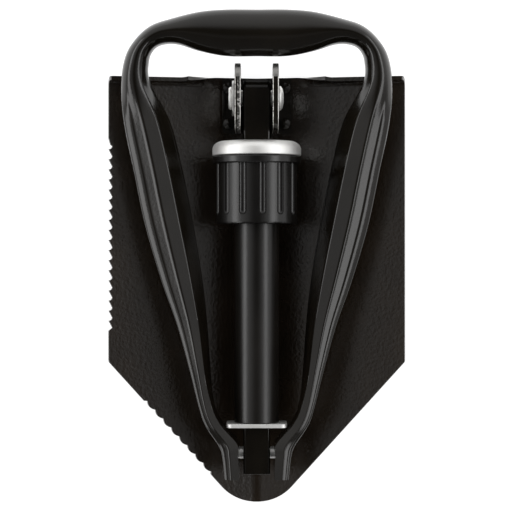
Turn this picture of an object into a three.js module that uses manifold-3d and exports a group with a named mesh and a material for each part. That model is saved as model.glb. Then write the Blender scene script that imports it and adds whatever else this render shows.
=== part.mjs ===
// Folding camp shovel, folded flat and lying on the back of its blade.
// Millimetres. +Y runs from the blade's tip to the grip, +Z from the blade's back to its open face.
// The shaft lies over the blade and the D-handle lies over the shaft, each on its own pivot along X.
import * as THREE from "three";
import { mergeVertices } from "three/addons/utils/BufferGeometryUtils.js";
import Module from "manifold-3d";

const wasm = await Module();
wasm.setup();

const GAP = 0.3; // clearance between pieces that touch
const MERGE = 1e-4; // vertices closer than this are one
const rad = THREE.MathUtils.degToRad;

// Blade: pressed sheet with a shallow V across it and a folded step along each half of its top edge.
const SHEET = 2;
const BLADE_HALF = 74.3;
const BLADE_TOP = 92;
const BLADE_TIP = -123;
const SHOULDER_Y = -51;
const TIP_RADIUS = 23.5;
const WING_SLOPE = rad(14);
const KEEL_RADIUS = 12;

// Foot steps
const STEP_INNER = 20; // where the fold begins, from the middle
const STEP_FULL = 40; // where it reaches its full height
const STEP_BEND = 2.5; // inside radius of the fold
const STEP_HEIGHT = 6; // above the blade's open face
const STEP_TOP = 91.3; // outside face of the fold

// Saw teeth on the left edge and scallops on the left of the point
const TOOTH_COUNT = 18;
const TOOTH_PITCH = 5.04;
const TOOTH_DEPTH = 1.8;
const TOOTH_FIRST = 55.2;
const SCALLOP_COUNT = 8;
const SCALLOP_PITCH = 6.05;
const SCALLOP_DEPTH = 1.2;
const SCALLOP_START = 27.5; // along the slanted edge, from the shoulder

// Pivots
const PIVOT_Z = 27;
const BLADE_PIVOT_Y = 80;
const HANDLE_PIVOT_Y = -95.4;

// Hinge bracket on the blade
const EAR_GAP = 15.6;
const EAR_THICK = 3;
const EAR_HALF = 16.4;
const EAR_ABOVE = 17; // from the pivot to the ear's free edge
const EAR_CORNER = 7;
const BASE_THICK = 2.5;
const BASE_HALF = 17.5;
const RIVET_X = 15.2;
const RIVET_Y = [68.5, 86.5];
const RIVET_RADIUS = 1.9;
const RIVET_HEAD = 3.1;
const PIVOT_RIVET_RADIUS = 4;
const WASHER_RADIUS = 8.7;
const WASHER_THICK = 1;

// Hinge fitting: tongue, thread and spigot in one piece
const TONGUE_HALF = 6.9;
const TONGUE_HALF_DEPTH = 8;
const TONGUE_TOP = 88.4;
const TONGUE_CORNER = 2.5;
const THREAD_ROOT = 11.2;
const THREAD_DEPTH = 1.1;
const THREAD_LEAD = 5;
const THREAD_LOW = 24;
const THREAD_HIGH = 56.4;
const THREAD_CLEARANCE = 0.5;

// Lock ring and lock collar
const RING_RADIUS = 22;
const RING_LOW = 51.4;
const RING_HIGH = 58.5;
const RING_BEVEL = 3.5;
const COLLAR_LOW = 17.7;
const COLLAR_HIGH = RING_LOW - GAP;
const COLLAR_RADIUS = 20;
const COLLAR_FLANGE = 3.7;
const FLUTE_COUNT = 13;
const FLUTE_PHASE = rad(7.8);
const FLUTE_RADIUS = 2.1;
const FLUTE_DEPTH = 1.5;
const FLUTE_LOW = 22;
const LIP_HIGH = 18.9; // the skirt is close on the tube below this, and clears the thread above it
const LIP_CLEARANCE = 0.45;

// Shaft tube, its end plate and the square handle fitting
const TUBE_RADIUS = 11;
const TUBE_BORE = 10.4;
const TUBE_WALL_LOW = -80.3;
const TUBE_HIGH = THREAD_LOW - GAP;
const SPIGOT_RADIUS = TUBE_BORE - GAP;
const SPIGOT_LENGTH = 26;
const PLATE_THICK = 1.9;
const PLATE_HALF_WIDTH = 14.9;
const PLATE_HALF_HEIGHT = 11.7;
const PLATE_CORNER = 3;
const BAR_HALF = 6.6;
const BAR_LOW = -105.7;
const BAR_CHAMFER = 0.8;
const CROSS_PIN_RADIUS = 2;
const CROSS_PIN_HALF = 10.7;
const UPPER_PIN_Y = 20.4;
const LOWER_PIN_Y = -73;

// D-handle
const HANDLE_RISE = Math.tan(rad(2.6)); // the handle's slope up from its pivot
const HANDLE_WALL = 1.6;
const ARM_SQUARENESS = 0.5; // 1 is an ellipse, less is squarer
const RIDGE_SHARE = 0.43; // where the arm's ridge runs, from its outer edge
const OUTER_FALL = rad(24);
const INNER_FALL = rad(14);
const FLANK_SHARE = 0.74; // where the inner face turns down into a flank
const FLANK_FALL = rad(35);
const BEAD_FALL = rad(33);
const GROOVE_SHARE = 0.2;
const GROOVE_DEPTH = 0.6;
const GROOVE_FULL_WIDTH = 14; // the groove fades on an arm narrower than this
const TAIL_RADIUS = 12.55; // from the pivot to the tails' ends
const HANDLE_PIN_RADIUS = 3;
const HANDLE_PIN_HEAD = 4.3;
const PIN_HEAD_X = 11.7; // where its heads begin
const PIN_HEAD_THICK = 1.4;
const ACCESS_RADIUS = 5;

// Finishes, as colour, roughness and metalness
const BLACK_COAT = [0x15120f, 0.28, 0];
const ZINC = [0xc6c3ba, 0.35, 1];
const RAW_STEEL = [0xb4b1aa, 0.5, 1];

// ---- making and joining solids ----

// A closed geometry as a solid, with its faces outward.
function solid(geometry) {
  const bare = geometry.clone();
  bare.deleteAttribute("normal");
  bare.deleteAttribute("uv");
  const merged = mergeVertices(bare, MERGE);
  const triVerts = [];
  const index = merged.index.array;
  for (let i = 0; i < index.length; i += 3) {
    const [a, b, c] = index.slice(i, i + 3);
    if (a !== b && b !== c && c !== a) triVerts.push(a, b, c);
  }
  const build = (triangles) =>
    new wasm.Manifold(
      new wasm.Mesh({
        numProp: 3,
        vertProperties: new Float32Array(merged.getAttribute("position").array),
        triVerts: new Uint32Array(triangles),
      }),
    );
  const made = build(triVerts);
  return made.volume() > 0 ? made : build(triVerts.reverse());
}

const join = (first, ...others) => others.reduce((all, one) => all.add(one), first);
const cut = (first, ...others) => others.reduce((all, one) => all.subtract(one), first);

// Moves every vertex of a geometry to the place that a function gives it.
function reshape(geometry, place) {
  const position = geometry.getAttribute("position");
  const point = new THREE.Vector3();
  for (let i = 0; i < position.count; i++) {
    place(point.fromBufferAttribute(position, i));
    position.setXYZ(i, point.x, point.y, point.z);
  }
  return geometry;
}

// An outline drawn on X and Y, as a prism along Z.
function prismAlongZ(shape, low, high, curveSegments = 6) {
  const options = { depth: high - low, bevelEnabled: false, curveSegments };
  return new THREE.ExtrudeGeometry(shape, options).translate(0, 0, low);
}

// An outline drawn on X and Z, as a prism along Y.
function prismAlongY(shape, low, high, curveSegments = 6) {
  return prismAlongZ(shape, -high, -low, curveSegments).rotateX(Math.PI / 2);
}

// An outline drawn on Y and Z, as a prism along X.
function prismAlongX(shape, low, high, curveSegments = 6) {
  const turn = new THREE.Matrix4().makeBasis(
    new THREE.Vector3(0, 1, 0),
    new THREE.Vector3(0, 0, 1),
    new THREE.Vector3(1, 0, 0),
  );
  return prismAlongZ(shape, low, high, curveSegments).applyMatrix4(turn);
}

// A profile of [radius, y] points turned about Y. A ring's profile is closed by its first point.
function turned(profile, segments = 48) {
  const points = profile.map(([r, y]) => new THREE.Vector2(r, y));
  if (profile[0][0] > 0) points.push(points[0]);
  return solid(new THREE.LatheGeometry(points, segments));
}

// A round rod along X, from one X to another, on the line y, z.
function rodAlongX(radius, low, high, y, z, segments = 24) {
  const rod = new THREE.CylinderGeometry(radius, radius, high - low, segments);
  return solid(rod.rotateZ(Math.PI / 2).translate((low + high) / 2, y, z));
}

function box(low, high) {
  const size = high.map((value, i) => value - low[i]);
  const middle = high.map((value, i) => (value + low[i]) / 2);
  return solid(new THREE.BoxGeometry(...size).translate(...middle));
}

// A named mesh of its own finish.
function piece(name, made, [color, roughness, metalness]) {
  const { vertProperties, triVerts } = made.getMesh();
  const indexed = new THREE.BufferGeometry();
  indexed.setAttribute("position", new THREE.BufferAttribute(vertProperties, 3));
  indexed.setIndex(new THREE.BufferAttribute(triVerts, 1));
  const geometry = indexed.toNonIndexed();
  geometry.computeVertexNormals();
  const mesh = new THREE.Mesh(
    geometry,
    new THREE.MeshStandardMaterial({ color, roughness, metalness }),
  );
  mesh.name = name;
  return mesh;
}

// ---- blade ----

const wingDirection = new THREE.Vector2(Math.cos(WING_SLOPE), Math.sin(WING_SLOPE));
const keelCentreZ = KEEL_RADIUS + SHEET;

// Height of a sheet's face over X, for a face at a given radius from the keel's centre line.
function wingHeight(x, radius) {
  const edge = radius * Math.sin(WING_SLOPE);
  const across = Math.abs(x);
  if (across < edge) return keelCentreZ - Math.sqrt(radius * radius - across * across);
  const rise = (across - edge) * Math.tan(WING_SLOPE);
  return keelCentreZ - radius * Math.cos(WING_SLOPE) + rise;
}

// The section of a V-folded sheet between two radii from the keel's centre line.
function foldedSection(outer, inner, half) {
  const shape = new THREE.Shape();
  const down = -Math.PI / 2;
  shape.moveTo(-half, wingHeight(half, outer));
  shape.absarc(0, keelCentreZ, outer, down - WING_SLOPE, down + WING_SLOPE, false);
  shape.lineTo(half, wingHeight(half, outer));
  shape.lineTo(half, wingHeight(half, inner));
  shape.absarc(0, keelCentreZ, inner, down + WING_SLOPE, down - WING_SLOPE, true);
  shape.lineTo(-half, wingHeight(half, inner));
  return shape;
}

// The blade seen from its open face: teeth down the left edge, scallops on the left of the point.
function bladeOutline() {
  const shape = new THREE.Shape();
  const foldLine = STEP_TOP - STEP_BEND - SHEET;
  const tipCentre = new THREE.Vector2(0, BLADE_TIP + TIP_RADIUS);
  const shoulder = new THREE.Vector2(BLADE_HALF, SHOULDER_Y);
  const reach = tipCentre.clone().sub(shoulder);
  const slant = Math.atan2(-reach.y, -reach.x) + Math.asin(TIP_RADIUS / reach.length());
  const end = slant - Math.PI / 2; // where the right edge meets the tip's arc

  shape.moveTo(STEP_INNER, BLADE_TOP);
  shape.lineTo(-STEP_INNER, BLADE_TOP);
  shape.lineTo(-STEP_INNER, foldLine);
  shape.lineTo(-BLADE_HALF, foldLine);
  shape.lineTo(-BLADE_HALF, TOOTH_FIRST + TOOTH_PITCH);
  for (let i = 0; i < TOOTH_COUNT; i++) {
    const tip = TOOTH_FIRST - i * TOOTH_PITCH;
    shape.lineTo(-BLADE_HALF + TOOTH_DEPTH, tip + 0.3 * TOOTH_PITCH);
    shape.quadraticCurveTo(-BLADE_HALF + TOOTH_DEPTH, tip + 0.1, -BLADE_HALF + 0.2, tip);
  }
  const lastTip = TOOTH_FIRST - TOOTH_COUNT * TOOTH_PITCH;
  shape.lineTo(-BLADE_HALF + TOOTH_DEPTH, lastTip + 0.3 * TOOTH_PITCH);
  shape.lineTo(-BLADE_HALF, lastTip);
  shape.lineTo(-BLADE_HALF, SHOULDER_Y);

  // Each scallop bulges out to the straight edge's own line from a notch inside it.
  const along = new THREE.Vector2(Math.cos(slant), -Math.sin(slant));
  const inward = new THREE.Vector2(Math.sin(slant), Math.cos(slant));
  const notch = (i) =>
    new THREE.Vector2(-BLADE_HALF, SHOULDER_Y)
      .addScaledVector(along, SCALLOP_START + i * SCALLOP_PITCH)
      .addScaledVector(inward, SCALLOP_DEPTH);
  const first = notch(0).addScaledVector(along, -SCALLOP_DEPTH).addScaledVector(inward, -SCALLOP_DEPTH);
  shape.lineTo(first.x, first.y);
  shape.lineTo(notch(0).x, notch(0).y);
  for (let i = 0; i < SCALLOP_COUNT; i++) {
    const from = notch(i);
    const to = notch(i + 1);
    const crown = from.clone().lerp(to, 0.5).addScaledVector(inward, -2 * SCALLOP_DEPTH);
    shape.quadraticCurveTo(crown.x, crown.y, to.x, to.y);
  }
  const back = notch(SCALLOP_COUNT).addScaledVector(inward, -SCALLOP_DEPTH);
  shape.lineTo(back.x, back.y);
  shape.absarc(tipCentre.x, tipCentre.y, TIP_RADIUS, Math.PI - end, end, false);
  shape.lineTo(BLADE_HALF, SHOULDER_Y);
  shape.lineTo(BLADE_HALF, foldLine);
  shape.lineTo(STEP_INNER, foldLine);
  return shape;
}

// One foot step: a flat strip of the sheet bent up by an angle that grows away from the middle. The
// strip is cut so that its edge stays straight in plan until it reaches its full height.
function footStep(side) {
  const foldLine = STEP_TOP - STEP_BEND - SHEET;
  const neutral = STEP_BEND + SHEET / 2;
  const full = (neutral * Math.PI) / 2 + STEP_HEIGHT - STEP_BEND;
  const base = wingHeight(STEP_INNER, KEEL_RADIUS + SHEET / 2);
  const overlap = 1; // how far the strip reaches into the sheet
  const along = (BLADE_HALF - STEP_INNER) / Math.cos(WING_SLOPE);
  const thickness = SHEET - 0.04;
  const strip = new THREE.BoxGeometry(1, 1, 1, 20, 7, 1);
  reshape(strip, (p) => {
    const u = (p.x + 0.5) * (along + overlap) - overlap;
    const bend = (THREE.MathUtils.smoothstep(u, 0, STEP_FULL - STEP_INNER) * Math.PI) / 2;
    const reach = BLADE_TOP - foldLine - Math.sin(bend) * (neutral + SHEET / 2);
    const straightEdge = neutral * bend + reach / Math.max(Math.cos(bend), 0.01);
    const length = Math.min(full, straightEdge);
    const s = (p.y + 0.5) * (length + overlap) - overlap;
    const arc = Math.min(Math.max(s / neutral, 0), bend);
    const straight = s - arc * neutral;
    const radius = neutral - p.z * thickness;
    const v = Math.sin(arc) * radius + Math.cos(arc) * straight;
    const w = neutral - Math.cos(arc) * radius + Math.sin(arc) * straight;
    p.x = side * (STEP_INNER + u * wingDirection.x - w * wingDirection.y);
    p.y = foldLine + v;
    p.z = base + u * wingDirection.y + w * wingDirection.x;
  });
  return solid(strip);
}

function bladeSolid() {
  const section = foldedSection(KEEL_RADIUS + SHEET, KEEL_RADIUS, BLADE_HALF + 1);
  const dish = solid(prismAlongY(section, BLADE_TIP - 1, BLADE_TOP + 1));
  const outline = solid(prismAlongZ(bladeOutline(), -5, 60));
  const sheet = join(dish.intersect(outline), footStep(1), footStep(-1));
  const side = box([-BLADE_HALF, BLADE_TIP - 1, -1], [BLADE_HALF, BLADE_TOP + 1, 60]);
  return cut(sheet.intersect(side), ...rivetPlaces.map((at) => rivetHole(at)));
}

// ---- hinge bracket ----

const baseFace = KEEL_RADIUS - GAP; // underside of the base plate
const rivetPlaces = [1, -1].flatMap((side) => RIVET_Y.map((y) => [side, y]));

// A turned solid about Y, stood square on one wing at a rivet's place.
function standOnWing(made, [side, y]) {
  const turn = new THREE.Matrix4()
    .makeTranslation(side * RIVET_X, y, wingHeight(RIVET_X, KEEL_RADIUS))
    .multiply(new THREE.Matrix4().makeRotationY(-side * WING_SLOPE))
    .multiply(new THREE.Matrix4().makeRotationX(Math.PI / 2));
  return made.transform(turn.toArray());
}

function rivetHole(place) {
  const radius = RIVET_RADIUS + GAP;
  return standOnWing(turned([[0, -10], [radius, -10], [radius, 10], [0, 10]], 12), place);
}

// A domed head in front, a flat set head behind the sheet.
function rivetSolid(place) {
  const front = BASE_THICK + 2 * GAP;
  const behind = -SHEET - GAP;
  const head = RIVET_HEAD;
  const profile = [
    [0, behind - 1.1],
    [head - 0.6, behind - 1.1],
    [head, behind - 0.6],
    [head, behind],
    [RIVET_RADIUS, behind],
    [RIVET_RADIUS, front],
    [head, front],
    [head - 0.4, front + 0.9],
    [head - 2, front + 1.7],
    [0, front + 1.9],
  ];
  return standOnWing(turned(profile, 12), place);
}

function basePlateSolid() {
  const section = foldedSection(baseFace, baseFace - BASE_THICK, BASE_HALF);
  const low = BLADE_PIVOT_Y - EAR_HALF;
  const plate = solid(prismAlongY(section, low, BLADE_TOP - 0.6));
  return cut(plate, ...rivetPlaces.map((at) => rivetHole(at)));
}

// An upright plate with rounded free corners, its foot cut to the base plate's slope.
function earSolid(side) {
  const low = BLADE_PIVOT_Y - EAR_HALF;
  const high = BLADE_PIVOT_Y + EAR_HALF;
  const top = PIVOT_Z + EAR_ABOVE;
  const r = EAR_CORNER;
  const shape = new THREE.Shape();
  shape.moveTo(low, 0);
  shape.lineTo(low, top - r);
  shape.absarc(low + r, top - r, r, Math.PI, Math.PI / 2, true);
  shape.absarc(high - r, top - r, r, Math.PI / 2, 0, true);
  shape.lineTo(high, PIVOT_Z - EAR_ABOVE);
  shape.lineTo(BLADE_TOP - 1, 0);
  const inner = side * (EAR_GAP / 2);
  const outer = side * (EAR_GAP / 2 + EAR_THICK);
  const plate = solid(prismAlongX(shape, Math.min(inner, outer), Math.max(inner, outer), 5));
  const below = foldedSection(KEEL_RADIUS + 20, baseFace - BASE_THICK - GAP, BASE_HALF + 5);
  const bore = rodAlongX(PIVOT_RIVET_RADIUS + GAP, -20, 20, BLADE_PIVOT_Y, PIVOT_Z);
  return cut(plate, solid(prismAlongY(below, low - 5, high + 5)), bore);
}

// A turned profile of [radius, x] points about the blade pivot's line.
function turnedOnBladePivot(profile, segments = 28) {
  const turn = new THREE.Matrix4()
    .makeTranslation(0, BLADE_PIVOT_Y, PIVOT_Z)
    .multiply(new THREE.Matrix4().makeRotationZ(-Math.PI / 2));
  return turned(profile, segments).transform(turn.toArray());
}

const earOuter = EAR_GAP / 2 + EAR_THICK;

function pivotRivetSolid() {
  const left = -(earOuter + WASHER_THICK + 2 * GAP);
  const right = earOuter + GAP;
  const r = PIVOT_RIVET_RADIUS;
  return turnedOnBladePivot([
    [0, left - 1.5],
    [4.9, left - 1.5],
    [5.6, left - 0.9],
    [5.6, left],
    [r, left],
    [r, right],
    [6.2, right],
    [6, right + 0.8],
    [4.8, right + 1.7],
    [2.6, right + 2.2],
    [0, right + 2.3],
  ]);
}

function pivotWasherSolid() {
  const near = -(earOuter + GAP);
  const bore = PIVOT_RIVET_RADIUS + GAP;
  return turnedOnBladePivot([
    [bore, near],
    [WASHER_RADIUS, near],
    [WASHER_RADIUS, near - WASHER_THICK],
    [bore, near - WASHER_THICK],
  ]);
}

// ---- shaft ----

// A threaded rod about Y: the radius rises and falls once in each lead, and turns with it.
function threadedRod(root, low, high) {
  const rows = Math.round((6 * (high - low)) / THREAD_LEAD);
  const rod = new THREE.CylinderGeometry(1, 1, 1, 16, rows);
  reshape(rod, (p) => {
    const y = low + (p.y + 0.5) * (high - low);
    const turn = y / THREAD_LEAD - Math.atan2(p.x, p.z) / (2 * Math.PI);
    const triangle = 1 - Math.abs(2 * (turn - Math.floor(turn)) - 1);
    const ridge = THREE.MathUtils.clamp(2 * triangle - 0.5, 0, 1);
    const radius = root + THREAD_DEPTH * ridge;
    const hub = Math.hypot(p.x, p.z);
    p.set(p.x * hub * radius, y, p.z * hub * radius);
  });
  return solid(rod);
}

// A square-ended tongue on the blade pivot, growing into the thread and the spigot in the tube.
function hingeFittingSolid() {
  const r = TONGUE_HALF_DEPTH;
  const c = TONGUE_CORNER;
  const shape = new THREE.Shape();
  shape.moveTo(THREAD_HIGH - 1, -r);
  shape.absarc(TONGUE_TOP - c, c - r, c, -Math.PI / 2, 0, false);
  shape.absarc(TONGUE_TOP - c, r - c, c, 0, Math.PI / 2, false);
  shape.lineTo(THREAD_HIGH - 1, r);
  const tongue = solid(prismAlongX(shape, -TONGUE_HALF, TONGUE_HALF, 16));
  const thread = threadedRod(THREAD_ROOT, THREAD_LOW, THREAD_HIGH);
  const low = THREAD_LOW - SPIGOT_LENGTH;
  const s = SPIGOT_RADIUS;
  const high = THREAD_LOW + 1;
  const spigot = turned([[0, low], [s - 1, low], [s, low + 1], [s, high], [0, high]], 32);
  const bore = rodAlongX(PIVOT_RIVET_RADIUS + GAP, -20, 20, BLADE_PIVOT_Y, 0);
  return cut(join(tongue, thread, spigot), bore, crossPinHole(UPPER_PIN_Y));
}

function lockRingSolid() {
  const bore = THREAD_ROOT + THREAD_DEPTH + THREAD_CLEARANCE;
  return turned([
    [bore, RING_LOW],
    [RING_RADIUS - 0.4, RING_LOW],
    [RING_RADIUS, RING_LOW + 0.4],
    [RING_RADIUS, RING_HIGH - RING_BEVEL],
    [RING_RADIUS - 0.7, RING_HIGH - 0.5 * RING_BEVEL],
    [RING_RADIUS - 1.9, RING_HIGH - 0.2 * RING_BEVEL],
    [RING_RADIUS - RING_BEVEL, RING_HIGH],
    [bore, RING_HIGH],
  ]);
}

// A round-bottomed grip flute with a ball end, at an angle round the collar.
function fluteSolid(angle, high) {
  const r = FLUTE_RADIUS;
  const middle = FLUTE_LOW + r;
  const turns = [30, 60, 90].map(rad);
  const ball = turns.map((turn) => [r * Math.sin(turn), middle - r * Math.cos(turn)]);
  const cutter = turned([[0, FLUTE_LOW], ...ball, [r, high], [0, high]], 14);
  const place = new THREE.Matrix4()
    .makeRotationY(angle)
    .multiply(new THREE.Matrix4().makeTranslation(0, 0, COLLAR_RADIUS - FLUTE_DEPTH + r));
  return cutter.transform(place.toArray());
}

// A nut with a flange under the ring, grip flutes round its body and a skirt over the tube.
function lockCollarSolid() {
  const flangeLow = COLLAR_HIGH - COLLAR_FLANGE;
  const body = turned([
    [0, COLLAR_LOW],
    [COLLAR_RADIUS - 0.8, COLLAR_LOW],
    [COLLAR_RADIUS, COLLAR_LOW + 0.8],
    [COLLAR_RADIUS, flangeLow],
    [RING_RADIUS, flangeLow + 0.3],
    [RING_RADIUS, COLLAR_HIGH - 0.4],
    [RING_RADIUS - 0.4, COLLAR_HIGH],
    [0, COLLAR_HIGH],
  ]);
  const flutes = Array.from({ length: FLUTE_COUNT }, (_, i) =>
    fluteSolid(FLUTE_PHASE + (i * 2 * Math.PI) / FLUTE_COUNT, flangeLow),
  );
  const thread = threadedRod(THREAD_ROOT + THREAD_CLEARANCE, THREAD_LOW - 1, COLLAR_HIGH + 2);
  const lip = TUBE_RADIUS + LIP_CLEARANCE;
  const clear = THREAD_ROOT + THREAD_DEPTH + THREAD_CLEARANCE;
  const bore = turned([
    [0, COLLAR_LOW - 1],
    [lip, COLLAR_LOW - 1],
    [lip, LIP_HIGH],
    [clear, LIP_HIGH],
    [clear, THREAD_LOW],
    [0, THREAD_LOW],
  ]);
  return cut(body, ...flutes, thread, bore);
}

function crossPinHole(y) {
  return rodAlongX(CROSS_PIN_RADIUS + GAP, -20, 20, y, 0, 16);
}

function crossPinSolid(y) {
  return rodAlongX(CROSS_PIN_RADIUS, -CROSS_PIN_HALF, CROSS_PIN_HALF, y, 0, 16);
}

function shaftTubeSolid() {
  const tube = turned([
    [TUBE_BORE, TUBE_WALL_LOW],
    [TUBE_RADIUS, TUBE_WALL_LOW],
    [TUBE_RADIUS, TUBE_HIGH],
    [TUBE_BORE, TUBE_HIGH],
  ]);
  return cut(tube, crossPinHole(UPPER_PIN_Y), crossPinHole(LOWER_PIN_Y));
}

const plateHigh = TUBE_WALL_LOW - GAP;
const plateLow = plateHigh - PLATE_THICK;

// An oblong plate with round corners, bored for the handle fitting's bar.
function endPlateSolid() {
  const r = PLATE_CORNER;
  const x = PLATE_HALF_WIDTH - r;
  const z = PLATE_HALF_HEIGHT - r;
  const shape = new THREE.Shape();
  shape.absarc(x, z, r, 0, Math.PI / 2, false);
  shape.absarc(-x, z, r, Math.PI / 2, Math.PI, false);
  shape.absarc(-x, -z, r, Math.PI, 1.5 * Math.PI, false);
  shape.absarc(x, -z, r, 1.5 * Math.PI, 2 * Math.PI, false);
  const bore = new THREE.Path().absarc(0, 0, BAR_HALF * Math.SQRT2 + GAP, 0, 2 * Math.PI, true);
  shape.holes.push(bore);
  return solid(prismAlongY(shape, plateLow, plateHigh));
}

// A square bar under the end plate, turned down to a spigot where it goes up into the tube.
function handleFittingSolid() {
  const chamfer = BAR_CHAMFER;
  const b = BAR_HALF;
  const shape = new THREE.Shape();
  shape.moveTo(-b + chamfer, -b);
  for (const [x, z] of [[b - chamfer, -b], [b, -b + chamfer], [b, b - chamfer], [b - chamfer, b]])
    shape.lineTo(x, z);
  for (const [x, z] of [[-b + chamfer, b], [-b, b - chamfer], [-b, -b + chamfer]]) shape.lineTo(x, z);
  const bar = solid(prismAlongY(shape, BAR_LOW, TUBE_WALL_LOW + 1));
  const top = TUBE_WALL_LOW + SPIGOT_LENGTH;
  const s = SPIGOT_RADIUS;
  const spigot = turned([[0, TUBE_WALL_LOW], [s, TUBE_WALL_LOW], [s, top - 1], [s - 1, top], [0, top]], 32);
  const bore = rodAlongX(HANDLE_PIN_RADIUS + GAP, -20, 20, HANDLE_PIVOT_Y, 0);
  return cut(join(bar, spigot), bore, crossPinHole(LOWER_PIN_Y));
}

// A headed pin through the bar. Its heads bear on the inner walls of the handle's arms.
function handlePinSolid() {
  const shank = rodAlongX(HANDLE_PIN_RADIUS, -PIN_HEAD_X, PIN_HEAD_X, HANDLE_PIVOT_Y, 0);
  const heads = [1, -1].map((side) => {
    const far = side * (PIN_HEAD_X + PIN_HEAD_THICK);
    const near = side * (PIN_HEAD_X - GAP);
    return rodAlongX(HANDLE_PIN_HEAD, Math.min(near, far), Math.max(near, far), HANDLE_PIVOT_Y, 0);
  });
  return join(shank, ...heads);
}

// ---- handle ----

// Right half of the handle, from the middle of the grip to the end of the arm: the outer and inner
// edges of the tube in plan, and its depth in Z, at each place where its form changes.
const handleStations = [
  { outer: [0, 123], inner: [0, 99.9], depth: 20 },
  { outer: [15, 123], inner: [15, 100], depth: 20 },
  { outer: [28, 121.7], inner: [28, 102.4], depth: 20.5 },
  { outer: [42, 118.3], inner: [38.5, 105.6], depth: 21.5 },
  { outer: [52, 114.8], inner: [45.7, 105.6], depth: 21.5 },
  { outer: [59.5, 108.3], inner: [50.3, 103.2], depth: 21 },
  { outer: [64.6, 99.5], inner: [52.8, 97.6], depth: 20 },
  { outer: [66.6, 86], inner: [52.3, 87], depth: 17 },
  { outer: [65.1, 67], inner: [43.1, 69], depth: 14 },
  { outer: [60.6, 44], inner: [37.5, 48], depth: 14 },
  { outer: [55.1, 17], inner: [32, 21], depth: 15 },
  { outer: [47, -10.5], inner: [27.4, -7], depth: 16 },
  { outer: [39.3, -32], inner: [24.8, -30], depth: 20 },
  { outer: [33, -54], inner: [23.2, -53], depth: 24 },
  { outer: [28.4, -72], inner: [21.4, -70.5], depth: 25 },
  { outer: [25, -81.5], inner: [17.7, -80.3], depth: 25.4 },
  { outer: [18.6, -91.3], inner: [9.1, -90.3], depth: 25.4 },
  { outer: [16.8, -97], inner: [8.6, -96.4], depth: 25.4 },
  { outer: [15.5, -110], inner: [8.2, -110], depth: 25.4 },
];

const mirrored = (list) => list.slice(1).reverse().map(([x, y]) => [-x, y]);
function railThrough(points, thirds) {
  const whole = [...mirrored(points), ...points];
  const along = [...thirds.slice(1).reverse(), ...thirds];
  return new THREE.CatmullRomCurve3(whole.map(([x, y], i) => new THREE.Vector3(x, y, along[i])));
}
const depths = handleStations.map(({ depth }) => depth);
const outerRail = railThrough(handleStations.map(({ outer }) => outer), depths);
const innerRail = railThrough(handleStations.map(({ inner }) => inner), depths);

// How far the tube is pressed into its grooved arm section, over Y: none in the grip, all below it.
const pressedAmount = (y) => 1 - THREE.MathUtils.smoothstep(y, 66, 92);

// A bell curve about a middle, 1 at its top.
const bell = (value, middle, width) => Math.exp(-(((value - middle) / width) ** 2));

// How far the front of an arm lies below its ridge, at a share of its width from its outer edge: it
// falls away on both sides of the ridge, more steeply outside a groove as a bevelled bead, and most
// of all along the flank by its inner edge.
function ridgeDrop(fromOuter, width) {
  const toRidge = Math.max(RIDGE_SHARE - fromOuter, 0) * width;
  const toGroove = Math.max(GROOVE_SHARE - fromOuter, 0) * width;
  const toFlank = (Math.min(Math.max(fromOuter, RIDGE_SHARE), FLANK_SHARE) - RIDGE_SHARE) * width;
  const flank = Math.max(fromOuter - FLANK_SHARE, 0) * width;
  const outside = (toRidge - toGroove) * Math.tan(OUTER_FALL) + toGroove * Math.tan(BEAD_FALL);
  const inside = toFlank * Math.tan(INNER_FALL) + flank * Math.tan(FLANK_FALL);
  const groove = GROOVE_DEPTH * Math.min(width / GROOVE_FULL_WIDTH, 1);
  return outside + inside + groove * bell(fromOuter, GROOVE_SHARE, 0.04);
}

// The handle's tube, or with a wall its bore: a cylinder laid along both rails.
function handleTube(around, along, wall) {
  const tube = new THREE.CylinderGeometry(1, 1, 1, around, along);
  reshape(tube, (p) => {
    const t = p.y + 0.5;
    const outer = outerRail.getPoint(t);
    const inner = innerRail.getPoint(t);
    const across = outer.clone().sub(inner);
    across.z = 0;
    const half = across.length() / 2 - wall;
    const deep = outer.z / 2 - wall;
    const middle = outer.clone().add(inner).multiplyScalar(0.5);
    const rise = (middle.y - HANDLE_PIVOT_Y) * HANDLE_RISE;
    const pressed = pressedAmount(middle.y);
    const square = 1 - pressed * (1 - ARM_SQUARENESS);
    const share = Math.sign(p.x) * Math.abs(p.x) ** square;
    const drop = p.z > 0 ? pressed * ridgeDrop((1 - share) / 2, 2 * half) : 0;
    const height = Math.sign(p.z) * Math.abs(p.z) ** square * (deep - drop);
    across.setLength(half * share || 0);
    p.set(middle.x + across.x, middle.y + across.y, rise + height);
  });
  return solid(tube);
}

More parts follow.
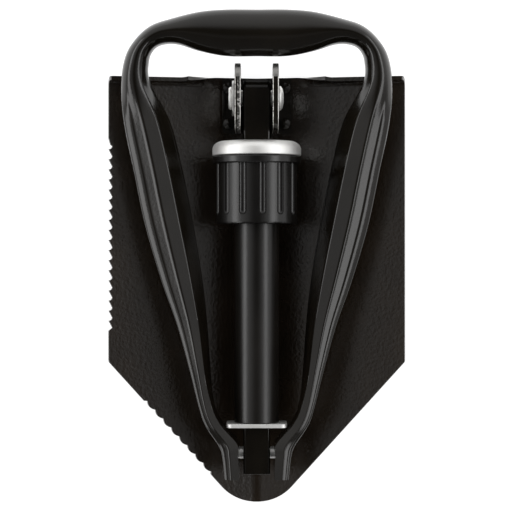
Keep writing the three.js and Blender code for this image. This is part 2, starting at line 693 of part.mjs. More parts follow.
function handleFrameSolid() {
  const tube = handleTube(18, 68, 0);
  const bore = handleTube(8, 44, HANDLE_WALL);

  // The tails are cut square in front and round behind, and relieved at the back of the pivot, so
  // that the arms swing past the end plate.
  const far = 140;
  const keep = new THREE.Shape();
  keep.moveTo(HANDLE_PIVOT_Y, -far);
  keep.lineTo(HANDLE_PIVOT_Y, -TAIL_RADIUS);
  keep.absarc(HANDLE_PIVOT_Y, 0, TAIL_RADIUS, -Math.PI / 2, -Math.PI, true);
  keep.lineTo(HANDLE_PIVOT_Y - TAIL_RADIUS, far);
  keep.lineTo(far, far);
  keep.lineTo(far, -far);
  const swept = TAIL_RADIUS + 8;
  const relief = new THREE.Shape();
  relief.absarc(HANDLE_PIVOT_Y, 0, TAIL_RADIUS, -Math.PI / 2, 0, false);
  relief.absarc(HANDLE_PIVOT_Y, 0, swept, 0, -Math.PI / 2, true);
  const inPlate = PLATE_HALF_WIDTH + 2 * GAP;

  const pinHole = rodAlongX(HANDLE_PIN_RADIUS + GAP, -30, 30, HANDLE_PIVOT_Y, 0);
  const access = [1, -1].map((side) => {
    const near = side * PIN_HEAD_X;
    const out = side * PLATE_HALF_WIDTH * 2;
    return rodAlongX(ACCESS_RADIUS, Math.min(near, out), Math.max(near, out), HANDLE_PIVOT_Y, 0);
  });
  return cut(
    tube.intersect(solid(prismAlongX(keep, -100, 100, 16))),
    bore,
    solid(prismAlongX(relief, -inPlate, inPlate, 12)),
    pinHole,
    ...access,
  );
}

// ---- assembly ----

const shovel = new THREE.Group();
shovel.add(piece("blade", bladeSolid(), BLACK_COAT));
shovel.add(piece("hinge_base_plate", basePlateSolid(), BLACK_COAT));
shovel.add(piece("hinge_ear_left", earSolid(-1), BLACK_COAT));
shovel.add(piece("hinge_ear_right", earSolid(1), BLACK_COAT));
rivetPlaces.forEach((place, i) => {
  shovel.add(piece(`bracket_rivet_${i + 1}`, rivetSolid(place), BLACK_COAT));
});
shovel.add(piece("blade_pivot_rivet", pivotRivetSolid(), ZINC));
shovel.add(piece("blade_pivot_washer", pivotWasherSolid(), ZINC));

const shaft = new THREE.Group();
shaft.position.z = PIVOT_Z;
shaft.add(piece("hinge_fitting", hingeFittingSolid(), BLACK_COAT));
shaft.add(piece("lock_ring", lockRingSolid(), ZINC));
shaft.add(piece("lock_collar", lockCollarSolid(), BLACK_COAT));
shaft.add(piece("shaft_pin_upper", crossPinSolid(UPPER_PIN_Y), RAW_STEEL));
shaft.add(piece("shaft_pin_lower", crossPinSolid(LOWER_PIN_Y), RAW_STEEL));
shaft.add(piece("shaft_tube", shaftTubeSolid(), BLACK_COAT));
shaft.add(piece("end_plate", endPlateSolid(), ZINC));
shaft.add(piece("handle_fitting", handleFittingSolid(), BLACK_COAT));
shaft.add(piece("handle_pivot_pin", handlePinSolid(), ZINC));
shaft.add(piece("handle_frame", handleFrameSolid(), BLACK_COAT));
shovel.add(shaft);

export default shovel;
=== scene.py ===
import math

import bpy
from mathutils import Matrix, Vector


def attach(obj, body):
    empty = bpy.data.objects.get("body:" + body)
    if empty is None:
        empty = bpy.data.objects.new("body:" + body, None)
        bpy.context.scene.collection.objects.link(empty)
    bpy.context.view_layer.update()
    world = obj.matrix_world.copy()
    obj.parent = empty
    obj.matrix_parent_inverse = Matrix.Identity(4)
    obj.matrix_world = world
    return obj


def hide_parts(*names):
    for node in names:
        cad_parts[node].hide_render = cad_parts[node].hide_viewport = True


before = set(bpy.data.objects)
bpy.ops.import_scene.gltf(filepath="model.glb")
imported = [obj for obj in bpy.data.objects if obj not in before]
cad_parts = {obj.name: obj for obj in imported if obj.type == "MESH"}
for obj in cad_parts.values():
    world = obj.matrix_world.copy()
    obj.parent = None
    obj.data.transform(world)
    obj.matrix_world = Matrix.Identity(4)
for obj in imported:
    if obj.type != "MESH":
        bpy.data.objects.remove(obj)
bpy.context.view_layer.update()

# ---------------------------------------------------------------- blade
# One sheet of 2 mm steel, blanked with its teeth and scallops, pressed into a shallow V and folded
# up along both halves of its top edge as foot steps. Dipped in glossy black powder coat after.
mm = 0.001
blade_sheet = 2.0
blade_half = 74.05
blade_top = 92.0
blade_tip = -123.0
shoulder_y = -51.0
tip_radius = 23.5
wing_slope = math.radians(14)
keel_radius = 13.0  # to the middle of the sheet
step_inner = 20.0
step_full = 40.0
step_bend = 3.5  # to the middle of the sheet
step_height = 6.0
fold_line = 91.3 - step_bend - blade_sheet / 2


def pick_only(piece):
    """Makes a piece the only one that an operator acts on."""
    if bpy.context.mode != "OBJECT":
        bpy.ops.object.mode_set(mode="OBJECT")
    bpy.ops.object.select_all(action="DESELECT")
    piece.select_set(True)
    bpy.context.view_layer.objects.active = piece


def apply_modifier(piece, kind, **settings):
    """Adds a modifier with its settings and applies it."""
    pick_only(piece)
    modifier = piece.modifiers.new(kind.title(), kind)
    for name, value in settings.items():
        setattr(modifier, name, value)
    bpy.ops.object.modifier_apply(modifier=modifier.name)


def steady_normals(piece, angle):
    """Smooth shading up to an angle, with large flat faces kept flat."""
    pick_only(piece)
    bpy.ops.object.shade_smooth_by_angle(angle=math.radians(angle))
    apply_modifier(piece, "WEIGHTED_NORMAL", keep_sharp=True, weight=80)


def smoothstep(value, low, high):
    share = min(max((value - low) / (high - low), 0.0), 1.0)
    return share * share * (3 - 2 * share)


def step_angle(across):
    """How far the foot step is folded up at a distance from the blade's middle."""
    return math.pi / 2 * smoothstep(across, step_inner, step_full)


def step_length(across):
    """Width of the strip that is folded up: its edge runs straight until it has its full height."""
    bend = step_angle(across)
    full = step_bend * math.pi / 2 + step_height - step_bend + blade_sheet / 2
    reach = blade_top - fold_line - math.sin(bend) * (step_bend + blade_sheet / 2)
    return min(full, step_bend * bend + reach / max(math.cos(bend), 0.01))


def saw_edge():
    """Hooked saw teeth down the left edge: a long slope in and a short round gullet out."""
    count, pitch, depth, first = 18, 5.04, 1.8, 55.2
    gullet, tip_blunt = 0.3 * pitch, 0.12
    points = [(-blade_half, first + pitch + 0.6), (-blade_half + depth / 2, first + 1.5 * gullet)]
    for i in range(count):
        tip = first - i * pitch
        for share in (0.0, 0.35, 0.7, 1.0):
            turn = share * math.pi / 2
            out = depth - (depth - 0.15) * (1 - math.cos(turn))
            points.append((-blade_half + out, tip + gullet * (1 - math.sin(turn))))
        points.append((-blade_half + tip_blunt, tip - tip_blunt))
    last = first - count * pitch
    return points + [(-blade_half + depth, last + gullet), (-blade_half, last)]


def slanted_left_edge():
    """From the left shoulder down to the tip: a straight run, eight scallops, a short straight run."""
    count, pitch, depth, start = 8, 6.05, 1.2, 27.5
    along = Vector((math.cos(slant), -math.sin(slant)))
    inward = Vector((math.sin(slant), math.cos(slant)))
    shoulder = Vector((-blade_half, shoulder_y))
    points = [shoulder + Vector((0, 1.2)), shoulder + 0.35 * along, shoulder + (start - depth) * along]
    for i in range(count):
        for k in range(8):
            share = k / 8
            bulge = depth * 4 * share * (1 - share)
            points.append(shoulder + (start + (i + share) * pitch) * along + (depth - bulge) * inward)
    end = shoulder + (start + count * pitch) * along
    return points + [end + depth * inward, end + 0.3 * depth * inward + 0.4 * along, end + 1.2 * along]


tip_centre = Vector((0, blade_tip + tip_radius))
to_tip = tip_centre - Vector((blade_half, shoulder_y))
slant = math.atan2(-to_tip.y, -to_tip.x) + math.asin(tip_radius / to_tip.length)
tip_end = slant - math.pi / 2
tip_start = -math.pi - tip_end
tip_arc = [
    tip_centre + tip_radius * Vector((math.cos(a), math.sin(a)))
    for a in (tip_start + (tip_end - tip_start) * i / 36 for i in range(37))
]
step_edge = [  # the free edge of the right foot step, before it is folded
    (across, fold_line + step_length(across))
    for across in [step_inner + 0.8 * i for i in range(26)] + [blade_half - 1.6]
]
step_corner = [(blade_half - 0.4, step_edge[-1][1] - 0.45), (blade_half, step_edge[-1][1] - 1.6)]
right_top = step_edge + step_corner + [(blade_half, fold_line)]
blank = [(-x, y) for x, y in right_top]  # the sheet's outline, round from its top edge
blank += saw_edge() + slanted_left_edge() + tip_arc
blank += [(blade_half - 0.25, shoulder_y - 0.3), (blade_half, shoulder_y + 0.6)]
blank += list(reversed(right_top))

bpy.ops.object.select_all(action="DESELECT")
bpy.ops.mesh.primitive_circle_add(vertices=len(blank), radius=1, fill_type="NGON")
blade = bpy.context.object
blade.name = "blade_sheet"
for vertex, (x, y) in zip(blade.data.vertices, blank):
    vertex.co = (x, y, 0)


def score(piece, where, across, chosen):
    """Cuts the chosen faces along a straight line, so that the sheet can bend there."""
    pick_only(piece)
    bpy.ops.object.mode_set(mode="EDIT")
    bpy.ops.mesh.select_mode(type="FACE")
    bpy.ops.mesh.select_all(action="DESELECT")
    bpy.ops.object.mode_set(mode="OBJECT")
    for face in piece.data.polygons:
        face.select = chosen(face.center)
    bpy.ops.object.mode_set(mode="EDIT")
    bpy.ops.mesh.bisect(plane_co=where, plane_no=across)
    bpy.ops.object.mode_set(mode="OBJECT")


keel_edge = keel_radius * math.sin(wing_slope)  # where the keel's curve meets a flat wing
for i in range(9):
    score(blade, (keel_edge * (i / 4 - 1), 0, 0), (1, 0, 0), lambda c: True)
score(blade, (0, fold_line, 0), (0, 1, 0), lambda c: True)
for side in (1, -1):
    score(blade, (side * step_inner, 0, 0), (1, 0, 0), lambda c: c.y > fold_line)
    for i in range(1, 17):
        line = side * (step_inner + i * (step_full - step_inner) / 16)
        score(blade, (line, 0, 0), (1, 0, 0), lambda c: c.y > fold_line and c.x * side > step_inner)
for i in range(1, 9):
    line = fold_line + step_bend * math.pi / 2 * i / 8
    score(blade, (0, line, 0), (0, 1, 0), lambda c: c.y > fold_line and abs(c.x) > step_inner)
apply_modifier(blade, "SOLIDIFY", thickness=blade_sheet, offset=0)
apply_modifier(blade, "BEVEL", width=0.35, segments=2, limit_method="ANGLE", angle_limit=0.7)


def sheet_height(x):
    """Height of the middle of the pressed sheet over the ground, and its slope, at X."""
    across = abs(x)
    bottom = keel_radius + blade_sheet / 2
    if across < keel_edge:
        slope = math.asin(across / keel_radius)
        return bottom - keel_radius * math.cos(slope), math.copysign(slope, x)
    rise = (across - keel_edge) * math.tan(wing_slope)
    return bottom - keel_radius * math.cos(wing_slope) + rise, math.copysign(wing_slope, x)


for vertex in blade.data.vertices:
    x, y, lift = vertex.co
    if abs(x) > step_inner and y > fold_line:
        bend = step_angle(abs(x))
        turned = min((y - fold_line) / step_bend, bend)
        straight = y - fold_line - turned * step_bend
        y = fold_line + math.sin(turned) * (step_bend - lift) + math.cos(turned) * straight
        lift = step_bend - math.cos(turned) * (step_bend - lift) + math.sin(turned) * straight
    height, slope = sheet_height(x)
    vertex.co = Vector((x - math.sin(slope) * lift, y, height + math.cos(slope) * lift)) * mm
steady_normals(blade, 40)


class Wire:
    """A socket in a material's node tree. Arithmetic on wires adds Math nodes."""

    def __init__(self, tree, end=None):
        self.tree = tree
        self.end = end

    def node(self, kind, settings=None, sockets=None, output=0):
        """A node of a type, with its settings and then the values or wires of its sockets."""
        made = self.tree.nodes.new(kind)
        for name, value in (settings or {}).items():
            if name == "stops":
                stops = made.color_ramp.elements
                while len(stops) < len(value):
                    stops.new(1.0)
                for stop, (place, shade) in zip(stops, value):
                    stop.position = place
                    stop.color = (*shade, 1) if isinstance(shade, tuple) else (shade, shade, shade, 1)
            else:
                setattr(made, name, value)
        for name, value in (sockets or {}).items():
            if isinstance(value, Wire):
                self.tree.links.new(value.end, made.inputs[name])
            else:
                made.inputs[name].default_value = value
        return Wire(self.tree, made.outputs[output] if made.outputs else None)

    def maths(self, operation, first, second):
        return self.node("ShaderNodeMath", {"operation": operation}, {0: first, 1: second})

    def __add__(self, other):
        return self.maths("ADD", self, other)

    __radd__ = __add__

    def __mul__(self, other):
        return self.maths("MULTIPLY", self, other)

    __rmul__ = __mul__

    def __sub__(self, other):
        return self.maths("SUBTRACT", self, other)

    def __rsub__(self, other):
        return self.maths("SUBTRACT", other, self)

    def blend(self, low, high):
        """A colour between two, by this wire."""
        sockets = {"Factor": self, 6: low, 7: high}
        return self.node("ShaderNodeMix", {"data_type": "RGBA"}, sockets, output=2)


def new_finish(name):
    """An empty material, and a wire to start its nodes from."""
    material = bpy.data.materials.new(name)
    material.use_nodes = True
    material.node_tree.nodes.clear()
    return material, Wire(material.node_tree)


def finish_surface(start, **sockets):
    """Ends a material in a Principled surface whose sockets are named with underscores for spaces."""
    named = {name.replace("_", " "): value for name, value in sockets.items()}
    shader = start.node("ShaderNodeBsdfPrincipled", None, named)
    start.node("ShaderNodeOutputMaterial", None, {"Surface": shader})


def powder_coat(name, shade, gloss, peel):
    """Black powder coat: an orange peel, slow clouding of its gloss, and dust-fine specks."""
    material, start = new_finish(name)
    place = start.node("ShaderNodeTexCoord", output="Object")
    waves = start.node("ShaderNodeTexNoise", None, {"Vector": place, "Scale": 620.0, "Detail": 2.0})
    clouds = start.node("ShaderNodeTexNoise", None, {"Vector": place, "Scale": 38.0, "Detail": 4.0})
    specks = start.node("ShaderNodeTexNoise", None, {"Vector": place, "Scale": 2600.0, "Detail": 1.0})
    lit = clouds.node("ShaderNodeValToRGB", {"stops": [(0.35, 0.0), (0.7, 1.0)]}, {"Fac": clouds})
    colour = lit.blend((*shade, 1), (*(1.7 * c for c in shade), 1))
    height = waves + specks * 0.12
    relief = start.node(
        "ShaderNodeBump", None, {"Strength": peel, "Distance": 0.0002, "Height": height}
    )
    finish_surface(
        start, Base_Color=colour, Roughness=clouds * 0.12 + gloss, Normal=relief, IOR=1.5
    )
    return material


# The blade's coat has a lighter, browner base than the black coat of the other parts. The extra brown
# is a painted reflection of the brown surround in its glossy wings.
blade_coat_with_painted_reflection = powder_coat("blade_powder_coat", (0.0135, 0.0095, 0.0062), 0.11, 0.9)
black_coat = powder_coat("black_powder_coat", (0.006, 0.0048, 0.0033), 0.1, 0.14)
blade.data.materials.append(blade_coat_with_painted_reflection)
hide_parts("blade")
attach(blade, "blade")


# ---------------------------------------------------------------- hinge bracket
# A formed base plate riveted to the blade, and two upright ears welded to it. The ears are sheared from
# 3 mm plate, and the coat leaves their cut edges thin and bright. Their ends past the blade's edge are
# painted dull grey: painted light from the white backdrop.
def dressed_copy(node, bevel, angle=35):
    """A copy of a CAD node with its triangles merged into whole faces and its edges softened."""
    piece = bpy.data.objects.new(node + "_finished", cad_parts[node].data.copy())
    bpy.context.scene.collection.objects.link(piece)
    pick_only(piece)
    bpy.ops.object.mode_set(mode="EDIT")
    bpy.ops.mesh.select_all(action="SELECT")
    bpy.ops.mesh.remove_doubles(threshold=0.000004)
    bpy.ops.mesh.dissolve_limited(angle_limit=math.radians(0.6))
    bpy.ops.object.mode_set(mode="OBJECT")
    piece.data.materials.clear()
    if bevel:
        apply_modifier(
            piece,
            "BEVEL",
            width=bevel * mm,
            segments=2,
            limit_method="ANGLE",
            angle_limit=math.radians(angle),
            use_clamp_overlap=True,
        )
    steady_normals(piece, angle)
    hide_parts(node)
    return piece


def worn_edge_and_painted_grey(name, bright, share):
    """A cut edge: bare steel where the coat has left it, over a share of it that noise decides. It also
    makes the dull grey metal that is painted on the ears' ends as the white backdrop's light on them.
    """
    material, start = new_finish(name)
    place = start.node("ShaderNodeTexCoord", output="Object")
    torn = start.node(
        "ShaderNodeTexNoise", None, {"Vector": place, "Scale": 900.0, "Detail": 4.0, "Roughness": 0.7}
    )
    stops = [(0.62 - 0.3 * share, 0.0), (0.7 - 0.3 * share, 1.0)]
    bare = start.node("ShaderNodeValToRGB", {"stops": stops}, {"Fac": torn})
    colour = bare.blend((0.02, 0.019, 0.017, 1), (bright, 0.98 * bright, 0.94 * bright, 1))
    relief = start.node("ShaderNodeBump", None, {"Strength": 0.4, "Distance": 0.0003, "Height": torn})
    finish_surface(start, Base_Color=colour, Roughness=0.5 - 0.1 * bare, Metallic=bare, Normal=relief)
    return material


bare_arris = worn_edge_and_painted_grey("bare_arris", 0.85, 0.85)
torn_edge = worn_edge_and_painted_grey("torn_edge", 0.85, 0.35)
# Dull grey metal over the whole face: painted light, standing for the white backdrop's glow on the
# ears' ends.
painted_backdrop_grey = worn_edge_and_painted_grey("painted_backdrop_grey", 0.33, 1.0)
base_plate = dressed_copy("hinge_base_plate", 0.3)
base_plate.data.materials.append(black_coat)
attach(base_plate, "blade")
ear_middle = -9.5 * mm  # of the left ear's thickness
painted_grey_from_y = 86.5 * mm  # the ears' ends past the blade's edge get dull grey metal, painted light for the white backdrop's glow on them
above_base = 12 * mm
for node in ("hinge_ear_left", "hinge_ear_right"):
    ear = dressed_copy(node, 0.4, 50)
    for finish in (black_coat, bare_arris, painted_backdrop_grey, torn_edge):
        ear.data.materials.append(finish)
    if node.endswith("left"):
        score(ear, (ear_middle, 0, 0), (1, 0, 0), lambda c: True)
    for face in ear.data.polygons:
        leans = abs(face.normal.x)
        # Index 2 is the painted grey of the ends that the white backdrop lights.
        if face.center.y > painted_grey_from_y and leans < 0.9:
            face.material_index = 2
        elif 0.2 < leans < 0.9 and face.center.z > above_base:
            face.material_index = 1
        elif ear_middle < face.center.x < 0 and leans < 0.1 and face.center.z > above_base:
            face.material_index = 3
    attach(ear, "blade")

# ---------------------------------------------------------------- bracket rivets
# Four domed steel rivets through the base plate and the sheet. They are set before the blade is
# coated, so they are as black as it is.
for i in range(1, 5):
    rivet = dressed_copy(f"bracket_rivet_{i}", 0, 50)
    rivet.data.materials.append(black_coat)
    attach(rivet, "blade")


# ---------------------------------------------------------------- blade pivot
# A heavy zinc-plated steel rivet through both ears and the tongue, with a washer under its flat
# head. It is set after coating, so it stays bright.
def zinc_plate(name, shade, rough):
    """Bright zinc plate: satin, slightly warm, with fine turning lines and a faint bloom."""
    material, start = new_finish(name)
    place = start.node("ShaderNodeTexCoord", output="Object")
    bloom = start.node("ShaderNodeTexNoise", None, {"Vector": place, "Scale": 160.0, "Detail": 4.0})
    grain = start.node("ShaderNodeTexNoise", None, {"Vector": place, "Scale": 2200.0, "Detail": 2.0})
    pale = tuple(min(1.25 * c, 1.0) for c in shade)
    relief = start.node("ShaderNodeBump", None, {"Strength": 0.12, "Distance": 0.0001, "Height": grain})
    finish_surface(
        start,
        Base_Color=bloom.blend((*shade, 1), (*pale, 1)),
        Roughness=bloom * 0.2 + (rough - 0.1),
        Metallic=1.0,
        Normal=relief,
    )
    return material


zinc = zinc_plate("zinc_plate", (0.86, 0.85, 0.81), 0.55)
for node in ("blade_pivot_rivet", "blade_pivot_washer"):
    part = dressed_copy(node, 0.15, 40)
    part.data.materials.append(zinc)
    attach(part, "blade")

# ---------------------------------------------------------------- hinge fitting
# A forged steel tongue between the ears, with its long edges rounded off. Below them it is turned
# into a thread for the collar and a spigot that fills the end of the tube.
shaft_z = 27.0
tongue_half_width, tongue_half_depth, tongue_low = 6.9, 8, 55
fitting = dressed_copy("hinge_fitting", 0, 50)
pick_only(fitting)


def on_tongue_edge(place):
    """Whether a place, in mm, is on one of the tongue's four long edges."""
    beside = abs(abs(place.x) - tongue_half_width) < 0.05
    return beside and abs(place.z - shaft_z) > tongue_half_depth - 1 and place.y > tongue_low


for edge in fitting.data.edges:
    edge.select = all(on_tongue_edge(fitting.data.vertices[i].co / mm) for i in edge.vertices)
bpy.ops.object.mode_set(mode="EDIT")
bpy.ops.mesh.select_mode(type="EDGE")
bpy.ops.mesh.bevel(offset=1.5 * mm, segments=3, affect="EDGES")
bpy.ops.object.mode_set(mode="OBJECT")
steady_normals(fitting, 40)
fitting.data.materials.append(black_coat)
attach(fitting, "shaft")

# ---------------------------------------------------------------- shaft tube and its pins
# Drawn steel tube of 22 mm, coated black. A steel pin through each end holds it to the fitting
# whose spigot fills it.
tube = dressed_copy("shaft_tube", 0.15, 40)
tube_black = powder_coat("tube_powder_coat", (0.005, 0.0042, 0.0034), 0.24, 0.12)
tube.data.materials.append(tube_black)
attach(tube, "shaft")
for node in ("shaft_pin_upper", "shaft_pin_lower"):
    pin = dressed_copy(node, 0.2, 50)
    pin.data.materials.append(zinc)
    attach(pin, "shaft")

# ---------------------------------------------------------------- end plate and handle fitting
# A zinc-plated steel plate closes the tube's lower end over a square steel bar, coated black. A
# headed zinc-plated pin through the bar is the handle's pivot.
plate = dressed_copy("end_plate", 0.12, 40)
plate.data.materials.append(zinc)
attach(plate, "shaft")
bar = dressed_copy("handle_fitting", 0.25, 40)
bar.data.materials.append(black_coat)
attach(bar, "shaft")
pivot_pin = dressed_copy("handle_pivot_pin", 0.3, 50)
pivot_pin.data.materials.append(zinc)
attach(pivot_pin, "shaft")

# ---------------------------------------------------------------- lock ring
# A loose zinc-plated steel ring with a rounded upper edge. The collar under it drives it along the
# shaft towards the ears' lower edges.
ring = dressed_copy("lock_ring", 0.35, 30)
ring.data.materials.append(zinc)
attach(ring, "lock_ring")

# ---------------------------------------------------------------- lock collar
# A moulded nylon nut, flanged under the ring, with round-ended flutes for the fingers. It turns on
# the fitting's thread, and its skirt reaches down round the tube.
collar_black = powder_coat("moulded_black", (0.0045, 0.004, 0.0036), 0.2, 0.06)
collar_radius, ring_radius = 20.0, 22.0
collar_low, collar_high, flange_low = 17.7, 51.1, 47.4
flute_count, flute_phase = 13, math.radians(7.8)
flute_radius, flute_depth, flute_low = 2.1, 1.5, 22.0


def turned(name, profile, steps):
    """A closed profile of radius and Y, spun about the shaft's line."""
    bpy.ops.object.select_all(action="DESELECT")
    bpy.ops.mesh.primitive_circle_add(vertices=len(profile), radius=1)
    piece = bpy.context.object
    piece.name = name
    for vertex, (radius, y) in zip(piece.data.vertices, profile):
        vertex.co = Vector((radius, y, shaft_z)) * mm
    bpy.ops.object.mode_set(mode="EDIT")
    bpy.ops.mesh.select_all(action="SELECT")
    centre = (0, 0, shaft_z * mm)
    bpy.ops.mesh.spin(steps=steps, angle=2 * math.pi, center=centre, axis=(0, 1, 0))
    bpy.ops.mesh.select_all(action="SELECT")
    bpy.ops.mesh.remove_doubles(threshold=0.000004)
    bpy.ops.mesh.normals_make_consistent(inside=False)
    bpy.ops.object.mode_set(mode="OBJECT")
    return piece


skirt_bore, lip_high, thread_bore = 11.45, 18.9, 12.8
collar = turned(
    "collar_body",
    [
        (skirt_bore, collar_low),
        (collar_radius - 0.9, collar_low),
        (collar_radius - 0.3, collar_low + 0.25),
        (collar_radius, collar_low + 0.9),
        (collar_radius, flange_low - 0.5),
        (collar_radius + 0.2, flange_low),
        (ring_radius - 0.5, flange_low + 0.1),
        (ring_radius, flange_low + 0.6),
        (ring_radius, collar_high - 0.5),
        (ring_radius - 0.5, collar_high),
        (thread_bore, collar_high),
        (thread_bore, lip_high),
        (skirt_bore, lip_high),
    ],
    192,
)
for i in range(flute_count):
    angle = flute_phase + i * 2 * math.pi / flute_count
    reach = collar_radius - flute_depth + flute_radius
    centre = Vector((reach * math.sin(angle), 0, shaft_z + reach * math.cos(angle)))
    bpy.ops.object.select_all(action="DESELECT")
    bpy.ops.mesh.primitive_uv_sphere_add(segments=32, ring_count=16, radius=flute_radius * mm)
    cutter = bpy.context.object
    for vertex in cutter.data.vertices:
        x, y, z = vertex.co
        down = z / mm + flute_low + flute_radius if z < 0.01 * mm else flange_low - 0.05
        vertex.co = (centre + Vector((x / mm, down, y / mm))) * mm
    pick_only(cutter)
    bpy.ops.object.mode_set(mode="EDIT")
    bpy.ops.mesh.select_all(action="SELECT")
    bpy.ops.mesh.normals_make_consistent(inside=False)
    bpy.ops.object.mode_set(mode="OBJECT")
    apply_modifier(collar, "BOOLEAN", object=cutter, operation="DIFFERENCE", solver="EXACT")
    bpy.data.objects.remove(cutter)
apply_modifier(
    collar, "BEVEL", width=0.22 * mm, segments=2, limit_method="ANGLE", angle_limit=math.radians(24)
)
steady_normals(collar, 40)
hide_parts("lock_collar")
collar.data.materials.append(collar_black)
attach(collar, "lock_collar")

# ---------------------------------------------------------------- handle
# One steel tube bent into a D, swelled at the grip and pressed along its arms into beads, facets and
# a steep inner flank. Its ends are left open, and a headed pin through them holds it to the bar.
pivot_y = -95.4
pin_bore, head_bore, head_from = 3.3, 5, 12
tail_radius = 12.55
handle_wall = 1.6
handle_rise = math.tan(math.radians(2.6))  # the handle's slope up from its pivot
arm_from, grip_from = 66, 92  # Y where the arm's section starts to fade, and where the grip is round
tail_from, flank_from = -82, -55  # Y where the flank is upright, and where it has its full width
stations = [  # outer edge x, y, inner edge x, y, depth
    (0, 122.8, 0, 99.9, 20),
    (15, 122.8, 15, 100, 20),
    (28, 121.7, 28, 102.4, 20.5),
    (42, 118.3, 38.5, 105.6, 21.5),
    (52, 114.8, 45.7, 105.6, 21.5),
    (59.5, 108.3, 50.3, 103.2, 21),
    (64.6, 99.5, 52.8, 97.6, 20),
    (66.6, 86, 52.3, 87, 17.5),
    (65.1, 67, 43.1, 69, 15),
    (60.6, 44, 37.5, 48, 15),
    (55.1, 17, 32, 21, 15.5),
    (47, -10.5, 27.4, -7, 17),
    (39.3, -32, 24.8, -30, 20),
    (33, -54, 23.2, -53, 24),
    (28.4, -72, 21.4, -70.5, 25),
    (25, -81.5, 17.7, -80.3, 25.4),
    (18.6, -91.3, 9.1, -90.3, 25.4),
    (16.8, -97, 8.6, -96.4, 25.4),
    (15.6, -107.95, 8.3, -107.95, 25.4),
]


def along_stations(place):
    """Every measure of the handle at a place between its stations, by a smooth curve through them."""
    first = min(int(place), len(stations) - 2)
    share = place - first
    mirror = (-1, 1, -1, 1, 1)
    before = [s * v for s, v in zip(mirror, stations[1])] if first == 0 else stations[first - 1]
    a, b = stations[first], stations[first + 1]
    after = stations[first + 2] if first + 2 < len(stations) else b
    measures = []
    for p0, p1, p2, p3 in zip(before, a, b, after):
        m1, m2 = (p2 - p0) / 2, (p3 - p1) / 2
        s2, s3 = share * share, share**3
        measures.append(
            (2 * s3 - 3 * s2 + 1) * p1
            + (s3 - 2 * s2 + share) * m1
            + (3 * s2 - 2 * s3) * p2
            + (s3 - s2) * m2
        )
    return measures


arm_strips = (  # where each strip of an arm's front ends, from its outer edge, and its slope
    (0.02, 1.6),
    (0.05, 0.7),
    (0.12, 0.58),
    (0.18, 0.42),
    (0.21, -0.12),
    (0.38, 0.46),
    (0.42, 0.66),
    (0.45, 0.0),
    (1, -0.3),
)
ridge_share = 0.42


def climb(across):
    """Rise of an arm's front from its outer edge to a share of its width, for a width of 1."""
    height, start = 0, 0
    for end, slope in arm_strips:
        height += slope * max(min(across, end) - start, 0)
        start = end
    return height


def arm_section(out, front, width, deep, flank):
    """Height of an arm's section: beads and facets in front, a steep inner flank, a flat back."""
    across = (1 - out) / 2
    edge = deep - climb(ridge_share) * width
    if not front:
        return edge - (edge + deep) * math.sqrt(max(1 - (1 - across) ** 8, 0))
    height = edge + climb(min(across, flank)) * width
    return height - (height + deep) * max(across - flank, 0) / (1 - flank)


def handle_point(place, side, turn):
    """A point of the tube's outside: place along it, side of the grip's middle, turn round it."""
    outer_x, outer_y, inner_x, inner_y, depth = along_stations(place)
    outer, inner = Vector((outer_x, outer_y)), Vector((inner_x, inner_y))
    middle = (outer + inner) / 2
    pressed = 1 - smoothstep(middle.y, arm_from, grip_from)
    out, up = math.cos(turn), math.sin(turn)
    height = up * depth / 2
    front = turn <= math.pi
    out += pressed * (1 - 2 * min(turn, 2 * math.pi - turn) / math.pi - out)
    flank = 0.95 - 0.21 * smoothstep(middle.y, tail_from, flank_from)
    section = arm_section(out, front, (outer - inner).length, depth / 2, flank)
    height += pressed * (section - height)
    point = middle + (outer - inner) / 2 * out
    if point.y < pivot_y and height < 0:
        room = math.sqrt(max(1 - (height / (tail_radius + 0.4)) ** 2, 0.02))
        point.y = pivot_y + (point.y - pivot_y) * room
    rise = (middle.y - pivot_y) * handle_rise
    return Vector((side * point.x, point.y, shaft_z + rise + height))


rings_each_side, around = 170, 96
bpy.ops.object.select_all(action="DESELECT")
bpy.ops.mesh.primitive_grid_add(x_subdivisions=around, y_subdivisions=2 * rings_each_side, size=2)
handle = bpy.context.object
handle.name = "handle_tube"
last_station = len(stations) - 1
for vertex in handle.data.vertices:
    run = vertex.co.y
    turn = math.pi * (vertex.co.x + 1)
    side = -1 if run < 0 else 1
    vertex.co = handle_point(abs(run) * last_station, side, turn) * mm
pick_only(handle)
bpy.ops.object.mode_set(mode="EDIT")
bpy.ops.mesh.select_all(action="SELECT")
bpy.ops.mesh.remove_doubles(threshold=0.00001)
bpy.ops.mesh.normals_make_consistent(inside=False)
bpy.ops.object.mode_set(mode="OBJECT")
apply_modifier(handle, "SOLIDIFY", thickness=handle_wall * mm, offset=-1)


def drill_along_x(piece, radius, low, high):
    """A round hole through a piece on the handle's pivot line."""
    bpy.ops.object.select_all(action="DESELECT")
    bpy.ops.mesh.primitive_cylinder_add(
        vertices=48,
        radius=radius * mm,
        depth=(high - low) * mm,
        location=Vector(((low + high) / 2, pivot_y, shaft_z)) * mm,
        rotation=(0, math.pi / 2, 0),
    )
    drill = bpy.context.object
    apply_modifier(piece, "BOOLEAN", object=drill, operation="DIFFERENCE", solver="EXACT")
    bpy.data.objects.remove(drill)


drill_along_x(handle, pin_bore, -30, 30)
drill_along_x(handle, head_bore, head_from, 30)
drill_along_x(handle, head_bore, -30, -head_from)
steady_normals(handle, 50)
handle.data.materials.append(black_coat)
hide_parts("handle_frame")
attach(handle, "handle")

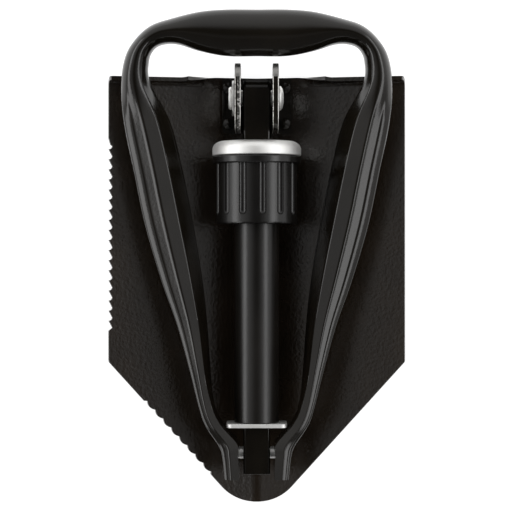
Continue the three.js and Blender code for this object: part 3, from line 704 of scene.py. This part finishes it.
# ---------------------------------------------------------------- camera, floor and light
# The shovel lies on a pale floor under a soft surround that is dark right above it, with a long
# soft light on each side. The camera looks straight down on the open face of the blade.
camera_data = bpy.data.cameras.new("camera")
camera_data.lens = 140.6
camera_data.sensor_width = 36
camera = bpy.data.objects.new("camera", camera_data)
camera.location = Vector((-0.35, 1.85, 1018)) * mm
bpy.context.scene.collection.objects.link(camera)
bpy.context.scene.camera = camera

bpy.ops.object.select_all(action="DESELECT")
bpy.ops.mesh.primitive_plane_add(size=8, location=(0, 0, -0.0004))
floor = bpy.context.object
floor.name = "floor"
pale, start = new_finish("pale_floor")
finish_surface(
    start,
    Base_Color=(0.5, 0.5, 0.5, 1),
    Roughness=0.9,
    Emission_Color=(1, 1, 1, 1),
    Emission_Strength=0.85,
)
floor.data.materials.append(pale)

world = bpy.data.worlds.new("surround")
world.use_nodes = True
world.node_tree.nodes.clear()
sky = Wire(world.node_tree)
direction = sky.node("ShaderNodeTexCoord", output="Generated")
upward = sky.node("ShaderNodeSeparateXYZ", None, {"Vector": direction}, output="Z")
beyond = sky.node("ShaderNodeSeparateXYZ", None, {"Vector": direction}, output="Y")
dome = sky.node(
    "ShaderNodeValToRGB",
    {"stops": [(0.0, 1.0), (0.45, 0.9), (0.77, 0.75), (0.89, 0.55), (0.95, 0.25), (0.985, 0.03)]},
    {"Fac": upward},
)
front = sky.node(
    "ShaderNodeValToRGB", {"stops": [(0.0, 0.12), (1.0, 1.0)]}, {"Fac": beyond * 2.0 + 1.0}
)
light = sky.node(
    "ShaderNodeBackground", None, {"Color": front.blend((0, 0, 0, 1), dome), "Strength": 1.0}
)
sky.node("ShaderNodeOutputWorld", None, {"Surface": light})
bpy.context.scene.world = world

light_width, light_length = 0.3, 1.6
for name, lean, power in (("left_light", -62, 4.2), ("right_light", 47, 3.9)):
    lamp_data = bpy.data.lights.new(name, "AREA")
    lamp_data.shape = "RECTANGLE"
    lamp_data.size = light_width
    lamp_data.size_y = light_length
    lamp_data.energy = power
    lamp = bpy.data.objects.new(name, lamp_data)
    away = Vector((math.sin(math.radians(lean)), 0, math.cos(math.radians(lean))))
    lamp.location = away
    lamp.rotation_euler = (0, math.radians(lean), 0)
    lamp.visible_camera = False
    bpy.context.scene.collection.objects.link(lamp)

bpy.context.scene.view_settings.view_transform = "Standard"
